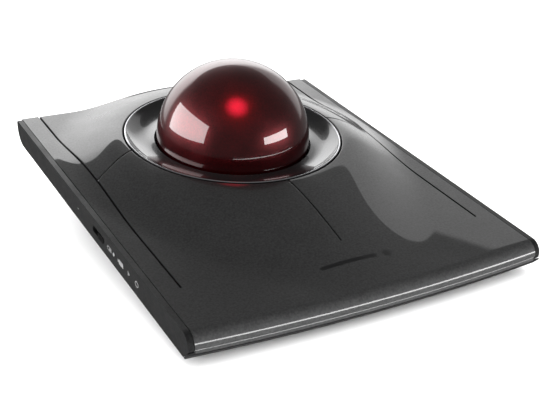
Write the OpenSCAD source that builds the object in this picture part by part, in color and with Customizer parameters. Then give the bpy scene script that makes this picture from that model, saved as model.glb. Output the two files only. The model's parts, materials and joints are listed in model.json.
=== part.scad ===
// Desktop trackball: a thin slab that slopes down to the front, on a recessed base, with a large ball
// in a dished ring and four big buttons around it.
// "Slab frame": x to the right, y to the back along the slope, z square to the slab's underside,
// with its origin in the middle of that underside. The part's own frame is level, +Z up.

/* [Slab] */
// Width over the two side panels
slab_w = 126; // [124:1:130]
// Depth along the slope, measured at the side panels
slab_d = 150; // [148:1:154]
// Height of the slab at its edges
edge_h = 8; // [7.8:0.1:8.6]
// How far the middle of the front edge bows out past its corners
front_bulge = 2.8; // [1.5:0.1:3.5]
// Slope of the slab, front down, in degrees
slope = 8.6; // [8.2:0.1:9]
// Height of the slab's underside above the desk at the middle of the slab
slab_lift = 14.1; // [14:0.1:14.6]
// Wall thickness of the top cover and the buttons
cover_t = 2; // [1.8:0.1:2.2]
// Radius of the rolled front edge
front_roll = 4.1; // [3.6:0.1:4.3]

/* [Hump around the ball] */
// Rise of the ring above the slab's edges
hump_h = 8; // [7.5:0.1:8.5]
// Run of the hump towards the sides
hump_side = 24; // [23:1:26]
// Run of the hump towards the back
hump_back = 32; // [30:1:34]
// Run of the hump towards the front
hump_front = 60; // [56:1:62]

/* [Ball and ring] */
// Diameter of the ball
ball_d = 55; // [54.5:0.1:55]
// Distance of the ball's centre behind the middle of the slab
ball_y = 21; // [20:0.5:22]
// Height of the ball's centre above the slab's underside
ball_z = 15; // [14.8:0.1:15.3]
// Gap between the ball and the lip of the ring
lip_gap = 0.6; // [0.5:0.1:0.8]
// Outer radius of the ring with its trim
ring_r = 38.9; // [38.5:0.1:39]
// Gap between the ring and the buttons
ring_gap = 0.6; // [0.4:0.1:0.8]

/* [Buttons] */
// Distance of the long side grooves from the middle
groove_x = 54.5; // [54:0.1:55]
// Width of the long side grooves
groove_w = 0.6; // [0.5:0.1:0.7]
// Width of the short lines that part the buttons
divider_w = 0.4; // [0.3:0.05:0.5]
// Distance of the lower buttons' hinge line in front of the slab's middle
hinge_front_y = 52.15; // [51:0.05:53]
// Travel of a button over its switch
button_travel = 0.35; // [0.25:0.05:0.4]

/* [Base and feet] */
// Width of the base where it meets the slab
base_w = 98; // [94:1:100]
// How much each side of the base draws in towards the desk
base_taper = 10; // [8:1:12]
// Wall thickness of the bottom case
case_t = 1.6; // [1.5:0.1:1.8]
// Diameter of a rubber foot
foot_d = 12; // [10:0.5:13]
// Height that the feet stand proud of the base
foot_proud = 1; // [0.8:0.1:1.2]

/* [Electronics] */
// Thickness of the main circuit board
pcb_t = 1.2; // [1:0.1:1.2]
// Angle of the two optical sensors below the ball's equator
sensor_angle = 28; // [26:1:30]
// Travel of the mode switch, from its front stop to its back stop
mode_travel = 5; // [4:0.5:5]

/* [Hidden] */
$fn = 96;

// Colours
body_grey = [0.16, 0.16, 0.17];
panel_grey = [0.27, 0.27, 0.28];
board_green = [0.05, 0.28, 0.16];
steel = [0.72, 0.72, 0.74];
black = [0.05, 0.05, 0.05];

// Slab outline
half_w = slab_w / 2;
half_d = slab_d / 2;
front_r = (half_w * half_w + front_bulge * front_bulge) / (2 * front_bulge);
front_cy = front_r - half_d - front_bulge;
panel_t = 1.8;
seam = 0.2;
inner_w = half_w - panel_t - seam;
back_y = half_d - 0.2;
seam_z = 2.1;
front_bevel = 1.7;
roll_floor = 3.9;
shift_y = 1.67;
ball_r = ball_d / 2;

// Buttons
button_in_x = groove_x - groove_w / 2;
button_r = ring_r + ring_gap;
divider_in = 180.7;
divider_out_y = 14.3;
hinge_gap = 0.15;
lower_switch = [21, -27];
upper_switch = [47, 28];

// Boards and switches
pcb_z = 2;
pcb_top = pcb_z + pcb_t;
switch_size = [12.8, 5.8, 6.5];
switch_top = pcb_top + switch_size[2];
plunger_proud = 0.6;
plunger_gap = 0.05;
plunger_deep = 0.8;
knob_y = -11.5;
knob_z = 4;
lens_y = -22;
cup_in = ball_r + 0.6;
cup_out = cup_in + 1.2;
cup_rim_z = 11.4;
flange_t = 1.2;
flange_r = 37;
cup_screw_r = 34.2;
cup_screw_angles = [30, 150, 270];
lip_z = 13.4;
lip_r = ball_r + lip_gap;
ring_top = edge_h + hump_h;
usb_z = 4.85;
case_screw_spots = [[-56.9, -66], [56.9, -66], [-56.9, 66], [56.9, 66]];
board_screw_spots = [[-53, -56], [53, -56], [-53, 40], [53, 40]];
charge_screw_spots = [[-10.5, 64], [10.5, 64]];
foot_spots = [[-33, -48], [33, -48], [-33, 36], [33, 36]];
tab_ys = [-60, -30, 20, 54];

// ---- Frames -------------------------------------------------------------------------------------

// Places its children, drawn in the slab frame, in the part's own frame
module on_slab() {
    translate([0, shift_y, slab_lift]) rotate([slope, 0, 0]) children();
}

// Undoes on_slab(), for things drawn level inside it
module level() {
    rotate([-slope, 0, 0]) translate([0, -shift_y, -slab_lift]) children();
}

// A level point (y, z) seen in the slab frame
function to_slab(p) =
    let (y = p[0] - shift_y, z = p[1] - slab_lift)
    [y * cos(slope) + z * sin(slope), -y * sin(slope) + z * cos(slope)];

// Extrudes an outline drawn as (y, z) across x
module across(width) {
    rotate([90, 0, 90]) linear_extrude(height = width, center = true) children();
}

// Places its children at the ball's centre, in the slab frame
module at_ball() {
    translate([0, ball_y, ball_z]) children();
}

// Turns local +X to the direction in which a sensor looks away from the ball
module at_sensor(side) {
    at_ball() rotate([0, 0, side > 0 ? 0 : 180]) rotate([0, sensor_angle, 0]) children();
}

// ---- Top surface --------------------------------------------------------------------------------

function mix(a, b, t) = a + (b - a) * t;
function front_y(x) = front_cy - sqrt(front_r * front_r - x * x);

// Share of the hump at a point, 1 at the ring and 0 where the slab is flat
function hump(x, y) =
    let (
        dy = y - ball_y,
        r = max(norm([x, dy]), 0.001),
        run = 1 / norm([x / r / hump_side, dy / r / (dy < 0 ? hump_front : hump_back)]),
        t = min(max((r - button_r) / run, 0), 1)
    )
    pow(cos(90 * t), 2);

// Drop of the rolled front edge at a point
function roll(x, y) =
    let (d = min(max(y - front_y(x), 0), front_roll))
    (edge_h - roll_floor) * (1 - sqrt(1 - pow(1 - d / front_roll, 2)));

function top_z(x, y) = edge_h + hump_h * hump(x, y) - roll(x, y);

// Closed solid between a top and a bottom grid of points, both with rows along +X and columns along +Y
module grid_solid(top, bottom) {
    rows = len(top);
    cols = len(top[0]);
    count = rows * cols;
    points = concat([for (r = top, p = r) p], [for (r = bottom, p = r) p]);
    function at(i, j, level) = level * count + i * cols + j;
    rim = concat(
        [for (i = [0 : rows - 1]) [i, 0]],
        [for (j = [1 : cols - 1]) [rows - 1, j]],
        [for (i = [rows - 2 : -1 : 0]) [i, cols - 1]],
        [for (j = [cols - 2 : -1 : 1]) [0, j]]
    );
    cells = [for (i = [0 : rows - 2], j = [0 : cols - 2]) [i, j]];
    faces = concat(
        [for (c = cells) [at(c[0], c[1], 0), at(c[0], c[1] + 1, 0), at(c[0] + 1, c[1] + 1, 0)]],
        [for (c = cells) [at(c[0], c[1], 0), at(c[0] + 1, c[1] + 1, 0), at(c[0] + 1, c[1], 0)]],
        [for (c = cells) [at(c[0], c[1], 1), at(c[0] + 1, c[1] + 1, 1), at(c[0], c[1] + 1, 1)]],
        [for (c = cells) [at(c[0], c[1], 1), at(c[0] + 1, c[1], 1), at(c[0] + 1, c[1] + 1, 1)]],
        [for (k = [0 : len(rim) - 1])
            let (a = rim[k], b = rim[(k + 1) % len(rim)])
            [at(a[0], a[1], 0), at(b[0], b[1], 0), at(b[0], b[1], 1)]],
        [for (k = [0 : len(rim) - 1])
            let (a = rim[k], b = rim[(k + 1) % len(rim)])
            [at(a[0], a[1], 0), at(b[0], b[1], 1), at(a[0], a[1], 1)]]
    );
    polyhedron(points = points, faces = faces, convexity = 4);
}

// ---- Housing ------------------------------------------------------------------------------------

// Plan of the bottom case's tray, a rectangle with the bowed front edge
module tray_plan(inset) {
    intersection() {
        translate([-inner_w + inset, -slab_d])
            square([2 * (inner_w - inset), slab_d + back_y - inset]);
        translate([0, front_cy]) circle(r = front_r - 0.2 - inset, $fn = 720);
    }
}

// Side outline of the base, inset by the wall and carried up to z = top in the slab frame
function base_outline(wall, top) =
    let (front = -64 + wall, back = 60 - wall, desk_front = -60 + wall, desk_back = 44 - wall)
    [
        to_slab([desk_front, foot_proud + wall * 0.75]),
        to_slab([desk_back, foot_proud + wall * 0.75]),
        [back, 0.8],
        [back, top],
        [front, top],
        [front, 0.8]
    ];

// Front outline of the base, narrower towards the desk
function base_section(wall) =
    let (wide = base_w / 2 - wall, narrow = wide - base_taper)
    [[-narrow, -30], [narrow, -30], [wide, 6], [wide, 14], [-wide, 14], [-wide, 6]];

module base_block(wall, top) {
    intersection() {
        across(base_w) polygon(base_outline(wall, top));
        translate([0, half_d]) rotate([90, 0, 0])
            linear_extrude(height = slab_d) polygon(base_section(wall));
    }
}

// Slot with round ends that runs along y through the rear wall
module usb_slot(width, height, from_y, to_y) {
    for (side = [-1, 1])
        translate([side * (width - height) / 2, from_y, usb_z])
            rotate([-90, 0, 0]) cylinder(d = height, h = to_y - from_y, $fn = 48);
    translate([-(width - height) / 2, from_y, usb_z - height / 2])
        cube([width - height, to_y - from_y, height]);
}

module rear_wall() {
    steps = 30;
    top = [for (k = [0 : steps])
        let (x = mix(inner_w, -inner_w, k / steps))
        [x, top_z(x, back_y) - cover_t - 0.5]];
    translate([0, back_y]) rotate([90, 0, 0])
        linear_extrude(height = case_t)
            polygon(concat([[-inner_w, 0.5], [inner_w, 0.5]], top));
}

module tray() {
    intersection() {
        linear_extrude(height = seam_z - 0.2) tray_plan(0);
        translate([0, front_cy, -0.01])
            cylinder(r1 = front_r - front_bevel, r2 = front_r + 0.2, h = 2.2, $fn = 720);
    }
    for (side = [-1, 1])
        translate([side * (inner_w - case_t / 2) - case_t / 2, -68, 0])
            cube([case_t, 68 + back_y, edge_h - cover_t - 0.4]);
    rear_wall();
}

// Corner of the bottom case that closes the clipped lower front corner of a side panel
module corner_lug(x) {
    tip = [-half_d - 0.1, 2.85];
    toe = [-half_d - 2, 0];
    heel = [-half_d + 2.55, 0];
    intersection() {
        translate([x, 0]) across(panel_t + 0.4) polygon([tip, toe, heel]);
        translate([0, front_cy, -0.01])
            cylinder(r1 = front_r - front_bevel, r2 = front_r + 0.8, h = 2.9, $fn = 720);
    }
}

module screw_post(spot, r, low, high) {
    translate([spot[0], spot[1], low]) cylinder(r = r, h = high - low, $fn = 48);
}

module bottom_case() {
    color(body_grey) on_slab() difference() {
        union() {
            difference() {
                union() {
                    tray();
                    base_block(0, 0.81);
                }
                base_block(case_t, edge_h);
                translate([0, 0, case_t]) linear_extrude(height = edge_h) tray_hollow();
            }
            intersection() {
                base_block(0, 12);
                for (a = cup_screw_angles)
                    screw_post(cup_spot(a), 2.6, -22, cup_rim_z - flange_t);
            }
            for (s = board_screw_spots) screw_post(s, 2.8, case_t - 0.2, pcb_z);
            for (s = charge_screw_spots) screw_post(s, 2.2, case_t - 0.2, pcb_z);
            for (side = [-1, 1])
                corner_lug(side * (half_w - panel_t / 2 - 0.2));
        }
        usb_slot(9.6, 3.9, back_y - 4, back_y + 1);
        translate([-inner_w - 1, -24, 2.2]) cube([4, 27, edge_h]);
        for (s = case_screw_spots) {
            screw_post(s, 1.3, -1, 4);
            screw_post(s, 2.4, -1, 0.9);
        }
        for (a = cup_screw_angles) screw_post(cup_spot(a), 0.95, 3, 11);
        for (s = board_screw_spots) screw_post(s, 0.95, 0.6, 4);
        for (s = charge_screw_spots) screw_post(s, 0.75, 0.6, 4);
        for (side = [-1, 1], y = tab_ys)
            translate([side * inner_w - 3, y - 3.3, 2.1]) cube([6, 6.6, 1.8]);
        level() foot_discs(foot_proud + 0.5, 0.15);
    }
}

// Space inside the tray's side and rear walls
module tray_hollow() {
    intersection() {
        translate([-inner_w + case_t, -slab_d])
            square([2 * (inner_w - case_t), slab_d + back_y - case_t]);
        translate([0, front_cy]) circle(r = front_r - 2.2, $fn = 720);
    }
}

function cup_spot(a) = [cup_screw_r * cos(a), ball_y + cup_screw_r * sin(a)];

// The cover is one U of plastic: two side strips and the front band. Each station pairs a point on
// its inner edge with a point on its outer edge.
function cover_stations() =
    let (
        in_x = groove_x + groove_w / 2,
        in_y = -hinge_front_y - hinge_gap / 2,
        out_y = front_y(inner_w),
        ends = [0, 0.12, 0.25, 0.4, 0.55, 0.7, 0.82, 0.9, 0.95, 0.975, 0.99, 1],
        last = len(ends) - 1,
        front = 24,
        left = [for (t = ends) [[-in_x, mix(back_y, in_y, t)], [-inner_w, mix(back_y, out_y, t)]]],
        middle = [for (k = [1 : front - 1])
            let (t = k / front, x = mix(-inner_w, inner_w, t))
            [[mix(-in_x, in_x, t), in_y], [x, front_y(x)]]],
        right = [for (k = [last : -1 : 0])
            let (t = ends[k])
            [[in_x, mix(back_y, in_y, t)], [inner_w, mix(back_y, out_y, t)]]]
    )
    concat(left, middle, right);

// Height of the cover's lower lip: deep along the front, none along the sides
function lip_low(p) = p[1] < -half_d + 2 ? seam_z : edge_h - cover_t - 0.2;

// Row of points across the cover at a station, by distance from the outer edge
function cover_row(s, distances, drop) =
    let (run = norm(s[1] - s[0]))
    [for (d = distances)
        let (p = mix(s[1], s[0], d / run))
        [p[0], p[1], top_z(p[0], p[1]) - drop]];

function cover_top(s) =
    let (run = norm(s[1] - s[0]), flat = 4.2)
    cover_row(s, concat([0, 0.15, 0.7, 1.6, 2.8], [for (k = [6 : -1 : 0]) mix(run, flat, k / 6)]), 0);

function cover_bottom(s) =
    let (
        run = norm(s[1] - s[0]),
        lip = cover_t + 0.2,
        low = lip_low(s[1]),
        foot = mix(s[1], s[0], cover_t / run)
    )
    concat(
        [[s[1][0], s[1][1], low], [foot[0], foot[1], low]],
        [for (k = [9 : -1 : 0])
            let (p = mix(s[1], s[0], mix(run, lip, k / 9) / run))
            [p[0], p[1], max(top_z(p[0], p[1]) - cover_t, low + 0.1)]]
    );

module cover_boss(spot) {
    screw_post(spot, 2.3, case_t + 0.1, edge_h - cover_t / 2);
}

module top_cover() {
    stations = cover_stations();
    color(body_grey) on_slab() difference() {
        union() {
            grid_solid([for (s = stations) cover_top(s)], [for (s = stations) cover_bottom(s)]);
            for (s = case_screw_spots) cover_boss(s);
        }
        for (s = case_screw_spots) screw_post(s, 1.05, 1, 6);
    }
}

// ---- Buttons ------------------------------------------------------------------------------------

// Angle of a point seen from the ball, 0 to 360
function turn(p) = (atan2(p[1] - ball_y, p[0]) + 360) % 360;

// Point where a button's edge runs around the ring
function ring_point(a) = [button_r * cos(a), ball_y + button_r * sin(a)];

// Points along a line through corners, n steps to each leg
function walk(corners, n) = concat(
    [for (leg = [0 : len(corners) - 2], k = [0 : n - 1]) mix(corners[leg], corners[leg + 1], k / n)],
    [corners[len(corners) - 1]]
);

// Row of points across a button, from a point on its outer edge to one on the ring
function button_row(outer, inner, drop) =
    [for (t = [0, 0.08, 0.2, 0.35, 0.5, 0.65, 0.8, 0.92, 1])
        let (p = mix(outer, inner, t))
        [p[0], p[1], top_z(p[0], p[1]) - drop]];

// Skin of a button between its outer edge, given by corners, and an arc of the ring
module button_skin(corners, from_angle, to_angle) {
    edge = walk(corners, 9);
    first = turn(edge[0]);
    last = turn(edge[len(edge) - 1]);
    inner = [for (p = edge) ring_point(mix(from_angle, to_angle, (turn(p) - first) / (last - first)))];
    grid_solid(
        [for (k = [0 : len(edge) - 1]) button_row(edge[k], inner[k], 0)],
        [for (k = [0 : len(edge) - 1]) button_row(edge[k], inner[k], cover_t)]
    );
}

// Post that pushes a switch's plunger down
module button_post(spot) {
    screw_post(
        spot, 1.4,
        switch_top + plunger_proud + plunger_gap,
        top_z(spot[0], spot[1]) - cover_t / 2
    );
}

divider_turn = divider_w / 2 / button_r * 180 / PI;

module lower_left() {
    front = -hinge_front_y + hinge_gap / 2;
    button_skin(
        [[-button_in_x, divider_out_y - divider_w / 2], [-button_in_x, front], [-divider_w / 2, front]],
        divider_in + divider_turn,
        270 - divider_turn
    );
    button_post([-lower_switch[0], lower_switch[1]]);
}

module upper_left() {
    button_skin(
        [[-divider_w / 2, back_y], [-button_in_x, back_y], [-button_in_x, divider_out_y + divider_w / 2]],
        90 + divider_turn,
        divider_in - divider_turn
    );
    button_post([-upper_switch[0], upper_switch[1]]);
}

module button_lower_left() {
    color(body_grey) on_slab() lower_left();
}

module button_lower_right() {
    color(body_grey) on_slab() mirror([1, 0, 0]) lower_left();
}

module button_upper_left() {
    color(body_grey) on_slab() upper_left();
}

module button_upper_right() {
    color(body_grey) on_slab() mirror([1, 0, 0]) upper_left();
}

// ---- Side panels --------------------------------------------------------------------------------

// Side view of a panel as (y, z): rolled at the front like the cover, clipped at the bottom front and
// rounded at the bottom back
function panel_outline() =
    let (
        front = -half_d,
        back = half_d - 0.4,
        r = edge_h - 1,
        chamfer = 0.8
    )
    concat(
        [[front + 2.8, 0], [front, 3.1]],
        [for (k = [0 : 8])
            let (a = 90 * k / 8)
            [front + front_roll * (1 - cos(a)), mix(roll_floor, edge_h, sin(a))]],
        [[back - chamfer, edge_h], [back, edge_h - chamfer]],
        [for (k = [0 : 12]) [back - r + r * cos(90 * k / 12), r - r * sin(90 * k / 12)]]
    );

module x_rod(r, from_x, to_x, y, z) {
    translate([from_x, y, z]) rotate([0, 90, 0]) cylinder(r = r, h = to_x - from_x, $fn = 48);
}

// Side panel with the tabs that hold it to the bottom case, for the right side
module side_panel() {
    translate([half_w - panel_t / 2, 0]) across(panel_t) polygon(panel_outline());
    for (y = tab_ys)
        translate([inner_w - 1.9, y - 3, 2.3]) cube([2.3, 6, 1.4]);
}

module left_side_panel() {
    slot_r = 1.1;
    from_y = knob_y - 1.3;
    to_y = knob_y + mode_travel + 1.3;
    color(panel_grey) on_slab() difference() {
        mirror([1, 0, 0]) side_panel();
        for (y = [from_y, to_y]) x_rod(slot_r, -half_w - 1, -inner_w + 1, y, knob_z);
        translate([-half_w - 1, from_y, knob_z - slot_r]) cube([panel_t + 2, to_y - from_y, 2 * slot_r]);
        x_rod(0.7, -half_w - 1, -inner_w + 1, lens_y, knob_z);
    }
}

module right_side_panel() {
    color(panel_grey) on_slab() side_panel();
}

// ---- Ring, ball and cup -------------------------------------------------------------------------

// Quadratic curve through the dish of the ring, from its lip (t = 0) to its rim (t = 1)
function dish(t) =
    let (
        lip = [lip_r + 0.2, lip_z],
        pull = [lip_r + 6.4, lip_z - 1],
        rim = [ring_r - 0.8, ring_top]
    )
    mix(mix(lip, pull, t), mix(pull, rim, t), t);

module ball_ring() {
    seat = cup_rim_z + 0.2;
    wall = ring_r - 0.6;
    ledge_z = ring_top - 1.8;
    color([0.32, 0.32, 0.34]) on_slab() translate([0, ball_y]) rotate_extrude($fn = 180)
        polygon(concat(
            [for (k = [0 : 14]) dish(k / 14)],
            [
                [wall, ring_top], [wall, ledge_z], [ring_r - 0.1, ledge_z],
                [ring_r - 0.1, ledge_z - 0.8], [wall, ledge_z - 0.8], [wall, seat],
                [wall - 1.5, seat], [wall - 1.5, lip_z], [lip_r + 5.4, seat + 0.3],
                [lip_r + 3.4, seat], [lip_r + 0.2, seat]
            ]
        ));
}

module ring_trim() {
    low = ring_top - 1.78;
    top = ring_top + 0.2;
    inside = ring_r - 0.58;
    color(steel) on_slab() translate([0, ball_y]) rotate_extrude($fn = 180)
        polygon([
            [inside, low], [ring_r, low], [ring_r, top - 0.3], [ring_r - 0.2, top], [inside, top]
        ]);
}

module ball() {
    color([0.35, 0.02, 0.05]) on_slab() at_ball() sphere(r = ball_r, $fn = 180);
}

// Rod along local +X between two distances from the ball's centre
module radial(r, from, to) {
    translate([from, 0, 0]) rotate([0, 90, 0]) cylinder(r = r, h = to - from, $fn = 48);
}

// Turns local +X to one of the three support balls
module at_support(k) {
    at_ball() rotate([0, 0, 90 + 120 * k]) rotate([0, 35, 0]) children();
}

support_r = 1.25;
support_at = ball_r + support_r + 0.02;
board_from = cup_out + 2.3;

module cup_solid() {
    intersection() {
        at_ball() sphere(r = cup_out, $fn = 180);
        screw_post([0, ball_y], 40, -20, cup_rim_z);
    }
    screw_post([0, ball_y], flange_r, cup_rim_z - flange_t, cup_rim_z);
    for (k = [0 : 2]) at_support(k) radial(2.2, cup_in + 0.5, cup_out + 1.3);
    for (side = [-1, 1], y = [-5.4, 5.4])
        at_sensor(side) translate([0, y, 0]) radial(1.1, cup_in + 0.6, board_from);
}

module ball_cup() {
    color(black) on_slab() difference() {
        cup_solid();
        at_ball() sphere(r = cup_in, $fn = 180);
        for (k = [0 : 2]) at_support(k) radial(support_r + 0.02, 20, support_at + support_r + 0.02);
        for (side = [-1, 1]) at_sensor(side) radial(2.85, 20, cup_out + 1);
        screw_post([0, ball_y], 6, ball_z - cup_out - 1, ball_z - 20);
        for (a = cup_screw_angles) {
            screw_post(cup_spot(a), 1, cup_rim_z - 3, cup_rim_z + 1);
            screw_post(cup_spot(a), 1.75, cup_rim_z - 0.65, cup_rim_z + 1);
        }
    }
}

module support_balls() {
    color([0.9, 0.9, 0.86]) on_slab()
        for (k = [0 : 2]) at_support(k) translate([support_at, 0, 0]) sphere(r = support_r, $fn = 48);
}

// ---- Optical sensors ----------------------------------------------------------------------------

module sensor_lens(side) {
    color([0.85, 0.87, 0.9]) on_slab() at_sensor(side) radial(2.8, cup_in + 0.25, cup_out + 0.5);
}

module sensor_chip(side) {
    color(black) on_slab() at_sensor(side)
        translate([cup_out + 0.7, -3.5, -3.5]) cube([board_from - cup_out - 0.7, 7, 7]);
}

module sensor_board(side) {
    color(board_green) on_slab() at_sensor(side) translate([board_from, -7, -6]) cube([1, 14, 12]);
}

// Flat cable from a sensor's board down to the underside of the main board
module sensor_cable(side) {
    width = 6;
    color([0.82, 0.82, 0.8]) on_slab() translate([0, ball_y + width / 2]) rotate([90, 0, 0])
        linear_extrude(height = width) polygon([
            for (p = [[31.15, 3.7], [34.2, 1.5], [41, 1.5], [41, 1.8], [34.35, 1.8], [31.35, 3.95]])
                [side * p[0], p[1]]
        ]);
}

module sensor_lens_left() {
    sensor_lens(-1);
}

module sensor_lens_right() {
    sensor_lens(1);
}

module sensor_chip_left() {
    sensor_chip(-1);
}

module sensor_chip_right() {
    sensor_chip(1);
}

module sensor_board_left() {
    sensor_board(-1);
}

module sensor_board_right() {
    sensor_board(1);
}

module sensor_cable_left() {
    sensor_cable(-1);
}

module sensor_cable_right() {
    sensor_cable(1);
}

// ---- Main board and what stands on it -----------------------------------------------------------

module main_board() {
    board_w = 114.6;
    well_r = 38;
    color(board_green) on_slab() translate([0, 0, pcb_z]) linear_extrude(height = pcb_t) difference() {
        translate([-board_w / 2, -62]) square([board_w, 106]);
        translate([0, ball_y]) circle(r = well_r);
        translate([-well_r, ball_y]) square([2 * well_r, 40]);
        for (s = board_screw_spots) translate(s) circle(r = 1.1, $fn = 48);
    }
}

// Box that stands on the main board, centred at a spot
module on_board(spot, size) {
    on_slab() translate([spot[0] - size[0] / 2, spot[1] - size[1] / 2, pcb_top]) cube(size);
}

module controller_chip() {
    color(black) on_board([-12, -50], [7, 7, 0.9]);
}

module radio_module() {
    color(steel) on_board([26, -55], [14, 11, 2]);
}

module status_led() {
    color([0.9, 0.9, 0.85]) on_board([-56.6, lens_y], [1.2, 1.6, 1.4]);
}

// Snap switch with a well for its plunger
module switch_body(spot, angle) {
    well = plunger_deep + button_travel + 0.15;
    color(black) on_slab() translate([spot[0], spot[1], pcb_top]) rotate([0, 0, angle]) difference() {
        translate([-switch_size[0] / 2, -switch_size[1] / 2, 0]) cube(switch_size);
        translate([-1.1, -1.5, switch_size[2] - well]) cube([2.2, 3, 2]);
    }
}

module switch_plunger(spot, angle) {
    color([0.85, 0.82, 0.7]) on_slab() translate([spot[0], spot[1], switch_top]) rotate([0, 0, angle])
        translate([-0.9, -1.3, -plunger_deep]) cube([1.8, 2.6, plunger_deep + plunger_proud]);
}

module switch_lower_left() {
    switch_body([-lower_switch[0], lower_switch[1]], 0);
}

module switch_lower_right() {
    switch_body(lower_switch, 0);
}

module switch_upper_left() {
    switch_body([-upper_switch[0], upper_switch[1]], 90);
}

module switch_upper_right() {
    switch_body(upper_switch, 90);
}

module plunger_lower_left() {
    switch_plunger([-lower_switch[0], lower_switch[1]], 0);
}

module plunger_lower_right() {
    switch_plunger(lower_switch, 0);
}

module plunger_upper_left() {
    switch_plunger([-upper_switch[0], upper_switch[1]], 90);
}

module plunger_upper_right() {
    switch_plunger(upper_switch, 90);
}

module mode_switch_body() {
    low_y = knob_y - 3.5;
    length = mode_travel + 7;
    color(steel) on_slab() difference() {
        translate([-57.2, low_y, pcb_top]) cube([3.6, length, 2.4]);
        translate([-58, low_y + 2, knob_z - 0.55]) cube([2.2, length - 4, 1.1]);
    }
}

// Knob seen in the panel's slot, the plate that covers the slot from inside, and the stem to the switch
module mode_switch_knob() {
    color(black) on_slab() translate([0, knob_y, knob_z]) {
        translate([-half_w - 0.3, -2, -0.9]) cube([2.4, 4, 1.8]);
        translate([-inner_w, -7.5, -1.5]) cube([0.5, 15, 3]);
        translate([-inner_w + 0.4, -0.6, -0.4]) cube([4.4, 1.2, 0.8]);
    }
}

module status_lens() {
    color([0.9, 0.92, 0.9]) on_slab() x_rod(0.6, -half_w - 0.05, -57.5, lens_y, knob_z);
}

// ---- Power --------------------------------------------------------------------------------------

module battery_pack() {
    size = [48, 34, 5];
    low = foot_proud + 0.75 * case_t + 0.1;
    color([0.6, 0.62, 0.65]) translate([0, -54, low]) {
        translate([-size[0] / 2 + size[2] / 2, 0, 0]) cube([size[0] - size[2], size[1], size[2]]);
        for (side = [-1, 1])
            translate([side * (size[0] - size[2]) / 2, 0, size[2] / 2])
                rotate([-90, 0, 0]) cylinder(d = size[2], h = size[1], $fn = 48);
    }
}

// Flat lead from the battery up to the underside of the main board
module battery_lead() {
    color([0.7, 0.1, 0.1]) on_slab() translate([12, 0]) across(4)
        polygon([
            [-22.6, -6.4], [-20.6, -6.4], [-18.6, -3], [-18.6, 1.9],
            [-19.2, 1.9], [-19.2, -2.8], [-21, -5.8], [-22.6, -5.8]
        ]);
}

module charge_board() {
    color(board_green) on_slab() translate([0, 0, pcb_z]) linear_extrude(height = pcb_t) difference() {
        translate([-13.5, 61]) square([27, 10.5]);
        for (s = charge_screw_spots) translate(s) circle(r = 0.9, $fn = 48);
    }
}

usb_from = 66.5;

module usb_shell() {
    color(steel) on_slab() difference() {
        usb_slot(8.94, 3.26, usb_from, back_y - 0.4);
        usb_slot(8.34, 2.66, usb_from + 0.4, back_y);
    }
}

module usb_tongue() {
    color(black) on_slab() translate([-3.35, usb_from + 0.45, usb_z - 0.35]) cube([6.7, 6, 0.7]);
}

// Flat cable along the right side, between the charging board and the main board
module charge_cable() {
    color([0.82, 0.82, 0.8]) on_slab() translate([0, 0, pcb_top + 0.05]) linear_extrude(height = 0.25)
        polygon([
            [9, 70.5], [30, 70.5], [50.5, 50], [50.5, 42],
            [46.5, 42], [46.5, 48.5], [28.5, 67], [9, 67]
        ]);
}

// ---- Feet and screws ----------------------------------------------------------------------------

// Discs under the base, drawn level
module foot_discs(top, slack) {
    for (s = foot_spots) screw_post(s, foot_d / 2 + slack, slack > 0 ? -1 : 0, top);
}

module rubber_feet() {
    color([0.08, 0.08, 0.08]) foot_discs(foot_proud + 0.5, 0);
}

// Screws of one kind: heads between two heights, and shanks out to a third
module screws(spots, head_r, head, shank_r, tip) {
    for (s = spots) {
        screw_post(s, head_r, head[0], head[1]);
        screw_post(s, shank_r, min(tip, head[0]), max(tip, head[1]));
    }
}

module case_screws() {
    color(steel) on_slab() screws(case_screw_spots, 2.2, [0.05, 0.85], 1, 5.5);
}

module cup_screws() {
    spots = [for (a = cup_screw_angles) cup_spot(a)];
    color(steel) on_slab()
        screws(spots, 1.6, [cup_rim_z - 0.6, cup_rim_z - 0.05], 0.9, 4);
}

module board_screws() {
    color(steel) on_slab() {
        screws(board_screw_spots, 1.8, [pcb_top + 0.02, pcb_top + 0.9], 0.9, 0.8);
        screws(charge_screw_spots, 1.6, [pcb_top + 0.02, pcb_top + 0.9], 0.7, 0.8);
    }
}

bottom_case();
top_cover();
button_lower_left();
button_lower_right();
button_upper_left();
button_upper_right();
left_side_panel();
right_side_panel();
ball_ring();
ring_trim();
ball();
ball_cup();
support_balls();
sensor_lens_left();
sensor_lens_right();
sensor_chip_left();
sensor_chip_right();
sensor_board_left();
sensor_board_right();
sensor_cable_left();
sensor_cable_right();
main_board();
controller_chip();
radio_module();
switch_lower_left();
switch_lower_right();
switch_upper_left();
switch_upper_right();
plunger_lower_left();
plunger_lower_right();
plunger_upper_left();
plunger_upper_right();
mode_switch_body();
mode_switch_knob();
status_led();
status_lens();
battery_pack();
battery_lead();
charge_board();
usb_shell();
usb_tongue();
charge_cable();
rubber_feet();
case_screws();
cup_screws();
board_screws();
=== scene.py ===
"""Looks of the desk trackball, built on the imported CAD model."""

import json
import math

import bpy
from mathutils import Matrix, Vector

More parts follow.
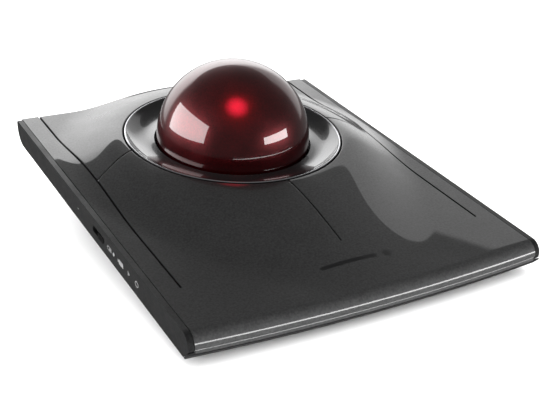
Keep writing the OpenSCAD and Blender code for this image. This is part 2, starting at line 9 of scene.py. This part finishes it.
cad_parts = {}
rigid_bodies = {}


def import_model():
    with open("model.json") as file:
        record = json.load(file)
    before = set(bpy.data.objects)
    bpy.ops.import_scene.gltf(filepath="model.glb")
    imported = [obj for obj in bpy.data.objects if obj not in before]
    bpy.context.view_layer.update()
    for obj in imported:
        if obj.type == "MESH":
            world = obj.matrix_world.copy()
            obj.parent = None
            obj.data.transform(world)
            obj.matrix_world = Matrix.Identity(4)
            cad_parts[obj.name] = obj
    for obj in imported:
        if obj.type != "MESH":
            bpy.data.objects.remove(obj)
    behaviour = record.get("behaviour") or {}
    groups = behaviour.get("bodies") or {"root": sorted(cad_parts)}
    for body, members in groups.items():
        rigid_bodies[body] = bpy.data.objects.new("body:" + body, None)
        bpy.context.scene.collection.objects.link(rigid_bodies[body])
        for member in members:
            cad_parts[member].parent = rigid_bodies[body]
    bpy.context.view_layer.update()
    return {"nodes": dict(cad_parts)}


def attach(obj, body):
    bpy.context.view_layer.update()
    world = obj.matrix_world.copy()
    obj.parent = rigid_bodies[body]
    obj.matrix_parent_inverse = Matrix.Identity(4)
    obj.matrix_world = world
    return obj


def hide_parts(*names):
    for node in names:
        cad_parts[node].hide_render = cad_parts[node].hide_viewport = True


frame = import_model()

MM = 0.001

# The slab's own frame: x to the right, y to the back along the slope, z square to its underside, in mm
SLOPE = math.radians(8.6)
SLAB = Matrix.Translation((0, 0.00167, 0.0141)) @ Matrix.Rotation(SLOPE, 4, "X")
HALF_W, HALF_D, FRONT_BULGE, EDGE_H = 63.0, 75.0, 2.8, 8.0
FRONT_R = (HALF_W**2 + FRONT_BULGE**2) / (2 * FRONT_BULGE)
FRONT_CY = FRONT_R - HALF_D - FRONT_BULGE
FRONT_ROLL, ROLL_FLOOR, LIP_Z = 4.1, 3.9, 2.1
HUMP_H, HUMP_SIDE, HUMP_BACK, HUMP_FRONT = 8.0, 24.0, 32.0, 60.0
BALL_Y, BALL_Z, BALL_R = 21.0, 15.0, 27.5
BUTTON_R = 39.5
COVER_X, GROOVE_IN, GROOVE_OUT = 61.0, 54.2, 54.8
BACK_Y, HINGE_Y, DIVIDER_Y, DIVIDER_GAP = 74.8, -52.15, 14.3, 0.2
DIVIDER_ANGLE = 180.7
SKIN = 2.0

scene = bpy.context.scene


# ---- Shape of the top -----------------------------------------------------------------------------


def mix(a, b, t):
    return a + (b - a) * t


def front_y(x):
    """The front edge's y at x."""
    return FRONT_CY - math.sqrt(FRONT_R**2 - x * x)


def top_z(x, y):
    """Height of the top: flat, with a hump round the ring and a rolled front edge."""
    dy = y - BALL_Y
    r = max(math.hypot(x, dy), 0.001)
    ahead = HUMP_FRONT if dy < 0 else HUMP_BACK
    run = 1 / math.hypot(x / r / HUMP_SIDE, dy / r / ahead)
    t = min(max((r - BUTTON_R) / run, 0), 1)
    d = min(max(y - front_y(x), 0), FRONT_ROLL)
    roll = (EDGE_H - ROLL_FLOOR) * (1 - math.sqrt(max(0, 1 - (1 - d / FRONT_ROLL) ** 2)))
    return EDGE_H + HUMP_H * math.cos(math.pi / 2 * t) ** 2 - roll


def steps(n):
    return [k / n for k in range(n + 1)]


# ---- Materials ------------------------------------------------------------------------------------


def material(name, dark, light, rough, grain, bump=0.1, depth=0.00002, **sockets):
    """Plastic, metal or rubber whose colour, roughness and surface vary with noise of two sizes."""
    mat = bpy.data.materials.new(name)
    mat.use_nodes = True
    nodes, links = mat.node_tree.nodes, mat.node_tree.links
    shader = nodes["Principled BSDF"]
    for key, value in sockets.items():
        shader.inputs[key.replace("_", " ")].default_value = value
    coords = nodes.new("ShaderNodeTexCoord")
    broad = nodes.new("ShaderNodeTexNoise")
    broad.inputs["Scale"].default_value = grain / 12
    broad.inputs["Detail"].default_value = 4
    fine = nodes.new("ShaderNodeTexNoise")
    fine.inputs["Scale"].default_value = grain
    fine.inputs["Detail"].default_value = 3
    for tex in (broad, fine):
        links.new(coords.outputs["Object"], tex.inputs["Vector"])
    both = nodes.new("ShaderNodeMath")
    both.operation = "MULTIPLY_ADD"
    both.inputs[1].default_value = 0.75
    links.new(fine.outputs["Fac"], both.inputs[0])
    part = nodes.new("ShaderNodeMath")
    part.operation = "MULTIPLY"
    part.inputs[1].default_value = 0.25
    links.new(broad.outputs["Fac"], part.inputs[0])
    links.new(part.outputs[0], both.inputs[2])
    colour = nodes.new("ShaderNodeMix")
    colour.data_type = "RGBA"
    colour.inputs["A"].default_value = (*dark, 1)
    colour.inputs["B"].default_value = (*light, 1)
    links.new(both.outputs[0], colour.inputs["Factor"])
    links.new(colour.outputs["Result"], shader.inputs["Base Color"])
    polish = nodes.new("ShaderNodeMapRange")
    polish.inputs["From Min"].default_value = 0.3
    polish.inputs["From Max"].default_value = 0.7
    polish.inputs["To Min"].default_value = rough[0]
    polish.inputs["To Max"].default_value = rough[1]
    links.new(broad.outputs["Fac"], polish.inputs["Value"])
    links.new(polish.outputs["Result"], shader.inputs["Roughness"])
    relief = nodes.new("ShaderNodeBump")
    relief.inputs["Strength"].default_value = bump
    relief.inputs["Distance"].default_value = depth
    links.new(fine.outputs["Fac"], relief.inputs["Height"])
    links.new(relief.outputs["Normal"], shader.inputs["Normal"])
    return mat


cover_plastic = material(
    "cover_plastic", (0.004, 0.004, 0.004), (0.104, 0.104, 0.105), (0.5, 0.66), 1500, bump=0.6,
    Specular_IOR_Level=0.2, Coat_Weight=1.0, Coat_Roughness=0.012,
)
panel_plastic = material(
    "panel_plastic", (0.002, 0.002, 0.002), (0.062, 0.062, 0.063), (0.42, 0.58), 1500, bump=0.5,
    Specular_IOR_Level=0.3, Coat_Weight=0.3, Coat_Roughness=0.12,
)
case_plastic = material(
    "case_plastic", (0.035, 0.035, 0.036), (0.055, 0.055, 0.056), (0.45, 0.6), 2600, bump=0.5
)
ring_plastic = material(
    "ring_plastic", (0.03, 0.03, 0.031), (0.05, 0.05, 0.052), (0.14, 0.2), 2400, bump=0.03,
    Metallic=0.6, Coat_Weight=0.8, Coat_Roughness=0.03,
)
trim_metal = material(
    "trim_metal", (0.5, 0.5, 0.52), (0.72, 0.72, 0.74), (0.1, 0.2), 3000, bump=0.05, Metallic=1.0
)
ball_resin = material(
    "ball_resin", (0.0, 0.0, 0.0), (0.1, 0.001, 0.004), (0.28, 0.38), 1800, bump=0.06,
    Metallic=0.8, Coat_Weight=1.0, Coat_Roughness=0.015,
)
cup_plastic = material("cup_plastic", (0.008, 0.008, 0.008), (0.02, 0.02, 0.02), (0.5, 0.65), 2200, bump=0.3)
rubber = material(
    "foot_rubber", (0.012, 0.012, 0.012), (0.03, 0.03, 0.03), (0.75, 0.9), 1800, bump=0.6, depth=0.0001
)
knob_plastic = material("knob_plastic", (0.01, 0.01, 0.01), (0.025, 0.025, 0.025), (0.4, 0.5), 3000, bump=0.2)
mark_paint = material("mark_paint", (0.005, 0.005, 0.006), (0.012, 0.012, 0.013), (0.3, 0.4), 3000)
icon_paint = material("icon_paint", (0.42, 0.42, 0.42), (0.55, 0.55, 0.55), (0.5, 0.6), 3000)
steel = material("steel", (0.45, 0.45, 0.46), (0.65, 0.65, 0.66), (0.25, 0.4), 2500, bump=0.1, Metallic=1.0)
board_green = material("board_green", (0.006, 0.05, 0.02), (0.012, 0.09, 0.035), (0.3, 0.45), 1500, bump=0.2)
chip_black = material("chip_black", (0.01, 0.01, 0.01), (0.02, 0.02, 0.02), (0.4, 0.55), 2500, bump=0.2)
cable_white = material("cable_white", (0.5, 0.5, 0.48), (0.65, 0.65, 0.62), (0.5, 0.6), 1500)
foil = material(
    "battery_foil", (0.35, 0.36, 0.38), (0.5, 0.51, 0.53), (0.3, 0.5), 900, bump=0.4, Metallic=0.6
)
red_lead = material("red_lead", (0.35, 0.02, 0.02), (0.5, 0.03, 0.03), (0.4, 0.5), 1500)
ceramic = material("ceramic", (0.7, 0.7, 0.66), (0.85, 0.85, 0.8), (0.1, 0.2), 1500, Coat_Weight=0.5)
clear = material("clear_lens", (0.6, 0.62, 0.62), (0.75, 0.77, 0.77), (0.1, 0.2), 1500, Coat_Weight=0.6)
plunger_plastic = material("plunger_plastic", (0.5, 0.4, 0.25), (0.6, 0.5, 0.32), (0.4, 0.5), 1500)

NODE_MATERIALS = {
    panel_plastic: ["left_side_panel", "right_side_panel"],
    case_plastic: ["bottom_case"],
    cup_plastic: ["ball_cup"],
    rubber: ["rubber_feet"],
    knob_plastic: ["mode_switch_knob"],
    steel: ["case_screws", "cup_screws", "board_screws", "radio_module", "mode_switch_body", "usb_shell"],
    board_green: ["main_board", "charge_board", "sensor_board_left", "sensor_board_right"],
    chip_black: [
        "controller_chip", "sensor_chip_left", "sensor_chip_right", "usb_tongue",
        "switch_lower_left", "switch_lower_right", "switch_upper_left", "switch_upper_right",
    ],
    cable_white: ["sensor_cable_left", "sensor_cable_right", "charge_cable"],
    foil: ["battery_pack"],
    red_lead: ["battery_lead"],
    ceramic: ["support_balls"],
    clear: ["sensor_lens_left", "sensor_lens_right", "status_lens", "status_led"],
    plunger_plastic: [
        "plunger_lower_left", "plunger_lower_right", "plunger_upper_left", "plunger_upper_right",
    ],
}


# ---- Meshes ---------------------------------------------------------------------------------------


def piece(name, points, faces, mat, body, replaces=(), crisp=40):
    """A mesh from points in the slab frame, riding on a body."""
    mesh = bpy.data.meshes.new(name)
    mesh.from_pydata([SLAB @ (Vector(p) * MM) for p in points], [], faces)
    mesh.validate()
    for polygon in mesh.polygons:
        polygon.use_smooth = True
    mesh.set_sharp_from_angle(angle=math.radians(crisp))
    mesh.materials.append(mat)
    obj = bpy.data.objects.new(name, mesh)
    scene.collection.objects.link(obj)
    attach(obj, body)
    if replaces:
        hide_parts(*replaces)
    return obj


def skin(name, grid, kept, low, soft, body, replaces):
    """A shell under a grid of (x, y) points. kept(i, j) says which cells are there, low(x, y, z) is the
    underside, and soft(a, b) says whether the rim between two grid indices has a rounded edge."""
    rows, cols = len(grid), len(grid[0])
    cells = [(i, j) for i in range(rows - 1) for j in range(cols - 1) if kept(i, j)]

    def corners(i, j):
        return [(i, j), (i, j + 1), (i + 1, j + 1), (i + 1, j)]

    used = sorted({c for cell in cells for c in corners(*cell)})
    index = {c: k for k, c in enumerate(used)}
    top = []
    for i, j in used:
        x, y = grid[i][j]
        top.append((x, y, top_z(x, y)))
    bottom = [low(*p) for p in top]
    count = len(used)
    faces, rim = [], {}
    for cell in cells:
        loop = [index[c] for c in reversed(corners(*cell))]
        faces.append(loop)
        faces.append([k + count for k in reversed(loop)])
        for a, b in zip(loop, loop[1:] + loop[:1]):
            if (b, a) in rim:
                del rim[(b, a)]
            else:
                rim[(a, b)] = True
    for a, b in rim:
        faces.append([b, a, a + count, b + count])
    obj = piece(name, top + bottom, faces, cover_plastic, body, replaces)
    rounded = {frozenset(e) for e in rim if soft(used[e[0]], used[e[1]])}
    weights = obj.data.attributes.new("bevel_weight_edge", "FLOAT", "EDGE")
    for edge in obj.data.edges:
        weights.data[edge.index].value = 1.0 if frozenset(edge.vertices) in rounded else 0.0
    bevel = obj.modifiers.new("rounded rim", "BEVEL")
    bevel.width = 0.28 * MM
    bevel.segments = 3
    bevel.limit_method = "WEIGHT"
    bevel.harden_normals = True
    return obj


def lathe(name, profile, turns, mat, body, replaces, crisp=40):
    """Turns a closed profile of (radius, height) about the ball's upright axis."""
    n = len(profile)
    points = []
    for k in range(turns):
        a = 2 * math.pi * k / turns
        points += [(r * math.cos(a), BALL_Y + r * math.sin(a), z) for r, z in profile]
    faces = []
    for k in range(turns):
        here, there = k * n, (k + 1) % turns * n
        for i in range(n):
            j = (i + 1) % n
            faces.append([here + i, here + j, there + j, there + i])
    return piece(name, points, faces, mat, body, replaces, crisp)


# ---- Top cover and buttons ------------------------------------------------------------------------

ROLL = [FRONT_ROLL * (1 - math.cos(math.pi / 2 * t)) for t in steps(16)]


def make_cover():
    """Side strips and front band, in one grid whose middle is open behind the hinge line."""
    strip = [mix(COVER_X, GROOVE_OUT, t) for t in steps(10)]
    middle_xs = [mix(-GROOVE_OUT, GROOVE_OUT, t) for t in steps(110)[1:-1]]
    xs = [-x for x in strip] + middle_xs + strip[::-1]
    strip_y = [mix(HINGE_Y, BACK_Y, t) for t in steps(120)[1:]]
    band = steps(22)[1:]
    grid = []
    for x in xs:
        roll = [front_y(x) + d for d in ROLL]
        middle = [mix(roll[-1], HINGE_Y, t) for t in band]
        grid.append([(x, y) for y in roll + middle + strip_y])
    hinge_row = len(ROLL) + len(band) - 1
    first_in = len(strip) - 1
    last_in = len(xs) - len(strip)

    def kept(i, j):
        return j < hinge_row or i < first_in or i >= last_in

    def soft(a, b):
        on_hinge = a[1] == b[1] == hinge_row and first_in <= min(a[0], b[0]) and max(a[0], b[0]) <= last_in
        on_lip = a[1] == b[1] == 0
        return not on_hinge and not on_lip

    def low(x, y, z):
        behind_edge = y - front_y(x)
        if behind_edge <= 0.01:
            return (x, y + 0.9, LIP_Z)
        if behind_edge < 3:
            return (x, y, max(z - SKIN, LIP_Z + 0.1))
        return (x, y, z - SKIN)

    skin("cover_shell", grid, kept, low, soft, "body", ["top_cover"])


def turn(x, y):
    return math.atan2(y - BALL_Y, x) % (2 * math.pi)


def make_button(name, body, corners, start, end, side, hinge_leg):
    """Button between its outer edge, through corners, and an arc of the ring. Side is 1 for the shape as
    given and -1 for its mirror image, and hinge_leg says whether the edge's second leg is a hinge line."""
    legs = []
    for a, b in zip(corners, corners[1:]):
        n = max(8, round(math.dist(a, b) / 1.1))
        legs.append([(mix(a[0], b[0], t), mix(a[1], b[1], t)) for t in steps(n)])
    edge = legs[0] + legs[1][1:]
    first, last = turn(*edge[0]), turn(*edge[-1])
    grid = []
    for x, y in edge:
        a = mix(start, end, (turn(x, y) - first) / (last - first))
        ring = (BUTTON_R * math.cos(a), BALL_Y + BUTTON_R * math.sin(a))
        row = [(mix(x, ring[0], t), mix(y, ring[1], t)) for t in steps(40)]
        grid.append([(side * px, py) for px, py in row])
    if side > 0:
        grid.reverse()
        hinge_rows = range(len(legs[1]))
    else:
        hinge_rows = range(len(legs[0]) - 1, len(edge))

    def kept(i, j):
        return True

    def soft(a, b):
        on_hinge = a[1] == b[1] == 0 and a[0] in hinge_rows and b[0] in hinge_rows
        return not (hinge_leg and on_hinge)

    def low(x, y, z):
        return (x, y, z - SKIN)

    skin(name, grid, kept, low, soft, body, [body])


def make_buttons():
    half_gap = DIVIDER_GAP / BUTTON_R
    divider = math.radians(DIVIDER_ANGLE)
    lower = [(-GROOVE_IN, DIVIDER_Y - DIVIDER_GAP), (-GROOVE_IN, HINGE_Y), (-DIVIDER_GAP, HINGE_Y)]
    upper = [(-DIVIDER_GAP, BACK_Y), (-GROOVE_IN, BACK_Y), (-GROOVE_IN, DIVIDER_Y + DIVIDER_GAP)]
    for side, word in ((1, "left"), (-1, "right")):
        make_button(
            f"lower_{word}_skin", f"button_lower_{word}", lower,
            divider + half_gap, 1.5 * math.pi - half_gap, side, True,
        )
        make_button(
            f"upper_{word}_skin", f"button_upper_{word}", upper,
            math.pi / 2 + half_gap, divider - half_gap, side, False,
        )


# ---- Ring and ball --------------------------------------------------------------------------------


def make_ring():
    lip, pull, rim = (28.3, 13.4), (34.5, 12.4), (38.1, 16.0)
    dish = []
    for t in steps(40):
        a = [mix(lip[k], pull[k], t) for k in (0, 1)]
        b = [mix(pull[k], rim[k], t) for k in (0, 1)]
        dish.append((mix(a[0], b[0], t), mix(a[1], b[1], t)))
    wall = [(38.3, 15.9), (38.3, 14.2), (38.8, 14.2), (38.8, 13.4), (38.3, 13.4), (38.3, 11.6)]
    under = [(36.8, 11.6), (36.8, 13.4), (33.5, 11.9), (31.5, 11.6), (28.3, 11.6)]
    lathe("dished_ring", dish + wall + under, 256, ring_plastic, "body", ["ball_ring"])
    trim = [(38.32, 14.22), (38.9, 14.22), (38.9, 15.8)]
    bead = (0.2, 0.6, 1.0, 1.4, 1.8, 2.2, 2.6)
    trim += [(38.6 + 0.3 * math.cos(a), 15.9 + 0.3 * math.sin(a)) for a in bead]
    trim += [(38.32, 15.85)]
    lathe("bright_rim", trim, 256, trim_metal, "body", ["ring_trim"], crisp=70)


def make_ball():
    rings, turns = 96, 192
    points = [(0, BALL_Y, BALL_Z + BALL_R)]
    for i in range(1, rings):
        polar = math.pi * i / rings
        r, z = BALL_R * math.sin(polar), BALL_Z + BALL_R * math.cos(polar)
        for k in range(turns):
            a = 2 * math.pi * k / turns
            points.append((r * math.cos(a), BALL_Y + r * math.sin(a), z))
    points.append((0, BALL_Y, BALL_Z - BALL_R))

    def at(i, k):
        return 1 + (i - 1) * turns + k % turns

    faces = []
    for k in range(turns):
        faces.append([0, at(1, k), at(1, k + 1)])
        faces.append([len(points) - 1, at(rings - 1, k + 1), at(rings - 1, k)])
        for i in range(1, rings - 1):
            faces.append([at(i, k), at(i + 1, k), at(i + 1, k + 1), at(i, k + 1)])
    piece("resin_ball", points, faces, ball_resin, "ball", ["ball"], crisp=180)


# ---- Marks and small detail -----------------------------------------------------------------------


def make_mark():
    """A plain bar and dot printed on the front band."""
    mark_y, paint = -61, 0.02
    points, faces = [], []

    def strip(x0, x1, half, n):
        base = len(points)
        for t in steps(n):
            x = mix(x0, x1, t)
            cap = min(t * (x1 - x0), (1 - t) * (x1 - x0), half)
            h = math.sqrt(max(half**2 - (half - cap) ** 2, 0.0004))
            for y in (mark_y - h, mark_y + h):
                points.append((x, y, top_z(x, y) + paint))
        for k in range(n):
            a = base + 2 * k
            faces.append([a, a + 2, a + 3, a + 1])

    strip(-13, 7.5, 0.75, 48)
    strip(10, 13, 1.5, 24)
    piece("front_mark", points, faces, mark_paint, "body")


def plate(points, faces, outline, x, thick):
    """Adds a thin solid with that outline in (y, z), on the left panel at x."""
    base, n = len(points), len(outline)
    points += [(x, y, z) for y, z in outline] + [(x + thick, y, z) for y, z in outline]
    faces.append([base + k for k in range(n)])
    faces.append([base + n + k for k in reversed(range(n))])
    for k in range(n):
        j = (k + 1) % n
        faces.append([base + j, base + k, base + n + k, base + n + j])


def box_outline(y0, y1, z0, z1):
    return [(y0, z0), (y1, z0), (y1, z1), (y0, z1)]


def hoop(points, faces, cy, cz, ry, rz, w, n, x, thick):
    """Adds a thin oval ring on the left panel."""
    for k in range(n):
        a, b = 2 * math.pi * k / n, 2 * math.pi * (k + 1) / n
        quad = [
            (cy + (ry - w * m) * math.cos(t), cz + (rz - w * m) * math.sin(t))
            for t, m in ((a, 0), (b, 0), (b, 1), (a, 1))
        ]
        plate(points, faces, quad, x, thick)


def make_icons():
    """Plain pictures beside the mode switch: a battery, a receiver, a wave and an oval."""
    points, faces = [], []
    x, thick = -63.03, 0.06
    battery = [
        (-20.1, -17.1, 3.3, 3.5), (-20.1, -17.1, 4.5, 4.7), (-20.1, -19.9, 3.5, 4.5),
        (-17.3, -17.1, 3.5, 4.5), (-17.1, -16.8, 3.8, 4.2), (-19.7, -18.4, 3.7, 4.3),
    ]
    receiver = [(-29.6, -26.4, 3.2, 4.8), (-26.4, -25.4, 3.55, 4.45)]
    bars = [(-34.6, -34.3, 3.7, 4.3), (-34.1, -33.8, 3.5, 4.5), (-33.6, -33.3, 3.2, 4.8)]
    for y0, y1, z0, z1 in battery + receiver + bars:
        plate(points, faces, box_outline(y0, y1, z0, z1), x, thick)
    hoop(points, faces, -40, 4, 1.3, 0.95, 0.28, 28, x, thick)
    plate(points, faces, box_outline(8.6, 9.4, 3.85, 4.15), x, thick)
    piece("panel_icons", points, faces, icon_paint, "body", crisp=20)


def make_knob_ribs():
    points, faces = [], []
    for y in (-12.7, -11.9, -11.1, -10.3):
        plate(points, faces, box_outline(y - 0.15, y + 0.15, 3.3, 4.7), -63.45, 0.3)
    piece("knob_ribs", points, faces, knob_plastic, "mode_knob", crisp=20)


# ---- Scene ----------------------------------------------------------------------------------------


def make_camera():
    data = bpy.data.cameras.new("camera")
    data.lens = 65.8
    data.sensor_width = 36
    camera = bpy.data.objects.new("camera", data)
    camera.location = (-0.1618, -0.2921, 0.1420)
    camera.rotation_euler = (math.radians(68.49), 0, math.radians(-30.04))
    scene.collection.objects.link(camera)
    scene.camera = camera


def soft_light(
    name, azimuth, elevation, distance, size, radiance, only, tint=(1, 1, 1), glow=False, low=False
):
    """Area light seen from the object at an azimuth from +Y towards +X and an elevation, in degrees.
    It lights only those objects. A glow fades from its middle, and a low light isn't shaded by the floor."""
    data = bpy.data.lights.new(name, "AREA")
    data.shape = "RECTANGLE"
    data.size, data.size_y = size
    data.energy = radiance * math.pi * size[0] * size[1]
    data.color = tint
    if glow:
        data.use_nodes = True
        nodes, links = data.node_tree.nodes, data.node_tree.links
        place = nodes.new("ShaderNodeNewGeometry")
        away = nodes.new("ShaderNodeVectorMath")
        away.operation = "DISTANCE"
        away.inputs[1].default_value = (0.5, 0.5, 0)
        links.new(place.outputs["Parametric"], away.inputs[0])
        fade = nodes.new("ShaderNodeMapRange")
        fade.interpolation_type = "SMOOTHSTEP"
        for key, value in (("From Min", 0.05), ("From Max", 0.5), ("To Min", 1.0), ("To Max", 0.0)):
            fade.inputs[key].default_value = value
        links.new(away.outputs["Value"], fade.inputs["Value"])
        links.new(fade.outputs["Result"], nodes["Emission"].inputs["Strength"])
    light = bpy.data.objects.new(name, data)
    a, e = math.radians(azimuth), math.radians(elevation)
    toward = Vector((math.sin(a) * math.cos(e), math.cos(a) * math.cos(e), math.sin(e)))
    light.location = Vector((0, 0.02, 0.03)) + toward * distance
    light.rotation_euler = toward.to_track_quat("Z", "Y").to_euler()
    scene.collection.objects.link(light)
    lit = bpy.data.collections.new(name + "_lights")
    for obj in only:
        lit.objects.link(obj)
    light.light_linking.receiver_collection = lit
    if low:
        light.light_linking.blocker_collection = lit


def make_sky():
    """Pale surround behind the object, up to 35 degrees above the horizon, and dark everywhere else."""
    world = bpy.data.worlds.new("studio")
    world.use_nodes = True
    nodes, links = world.node_tree.nodes, world.node_tree.links
    nodes["Background"].inputs["Color"].default_value = (1, 1, 1, 1)
    coords = nodes.new("ShaderNodeTexCoord")
    split = nodes.new("ShaderNodeSeparateXYZ")
    links.new(coords.outputs["Generated"], split.inputs[0])

    def ramp(source, low, high, at_low, at_high):
        node = nodes.new("ShaderNodeMapRange")
        for key, value in (("From Min", low), ("From Max", high), ("To Min", at_low), ("To Max", at_high)):
            node.inputs[key].default_value = value
        links.new(source, node.inputs["Value"])
        return node.outputs["Result"]

    def combine(operation, a, b):
        node = nodes.new("ShaderNodeMath")
        node.operation = operation
        for k, source in enumerate((a, b)):
            if isinstance(source, float):
                node.inputs[k].default_value = source
            else:
                links.new(source, node.inputs[k])
        return node.outputs[0]

    def facing(azimuth):
        node = nodes.new("ShaderNodeVectorMath")
        node.operation = "DOT_PRODUCT"
        a = math.radians(azimuth)
        node.inputs[1].default_value = (math.sin(a), math.cos(a), 0)
        links.new(coords.outputs["Generated"], node.inputs[0])
        return node.outputs["Value"]

    height = split.outputs["Z"]
    surround = ramp(height, 0.0, 0.57, 0.75, 0.65)
    glare = combine("MULTIPLY", ramp(facing(10), 0.72, 0.82, 0.0, 1.0), ramp(height, 0.0, 0.5, 0.4, 2.2))
    behind = ramp(facing(26), 0.56, 0.66, 0.0, 1.0)
    below = ramp(height, 0.5745, 0.5785, 1.0, 0.0)
    above = ramp(height, -0.04, 0.0, 0.0, 1.0)
    zone = combine("MULTIPLY", combine("MULTIPLY", below, above), behind)
    pale = combine("MULTIPLY", combine("ADD", surround, glare), zone)
    links.new(combine("ADD", pale, 0.15), nodes["Background"].inputs["Strength"])
    scene.world = world


def make_studio():
    mesh = bpy.data.meshes.new("floor")
    mesh.from_pydata([(-9, -9, 0), (9, -9, 0), (9, 9, 0), (-9, 9, 0)], [], [(0, 1, 2, 3)])
    mesh.materials.append(material("floor", (0.86, 0.86, 0.86), (0.9, 0.9, 0.9), (0.8, 0.9), 60, bump=0.02))
    floor = bpy.data.objects.new("floor", mesh)
    scene.collection.objects.link(floor)
    floor.visible_glossy = False
    objects = bpy.data.objects
    ball, ring = objects["resin_ball"], objects["dished_ring"]
    words = ("lower_left", "lower_right", "upper_left", "upper_right")
    shell = [objects["cover_shell"]] + [objects[word + "_skin"] for word in words]
    soft_light("floor_wash", 0, 90, 1.6, (8.0, 8.0), 2.1, only=[floor])
    soft_light("floor_fill", -140, 22, 1.5, (2.0, 0.9), 4, only=[floor])
    soft_light("left_window", -76, 17, 0.8, (1.1, 0.42), 9, only=[ball, ring])
    soft_light("right_window", 141, 3.5, 0.8, (0.6, 0.14), 14, only=[ball, ring])
    soft_light("front_line", 160, -6, 0.8, (1.7, 0.12), 13, only=shell, low=True)
    soft_light("ball_glow", -164, 58, 1.0, (0.7, 0.7), 15, only=[ball], tint=(1, 0.02, 0.06), glow=True)
    make_sky()
    scene.view_settings.view_transform = "Standard"


def dress_nodes():
    """Gives each CAD node that is shown its material."""
    for mat, names in NODE_MATERIALS.items():
        for name in names:
            node = frame["nodes"][name]
            node.data.materials.clear()
            node.data.materials.append(mat)


make_camera()
dress_nodes()
make_cover()
make_buttons()
make_ring()
make_ball()
make_mark()
make_icons()
make_knob_ribs()
make_studio()
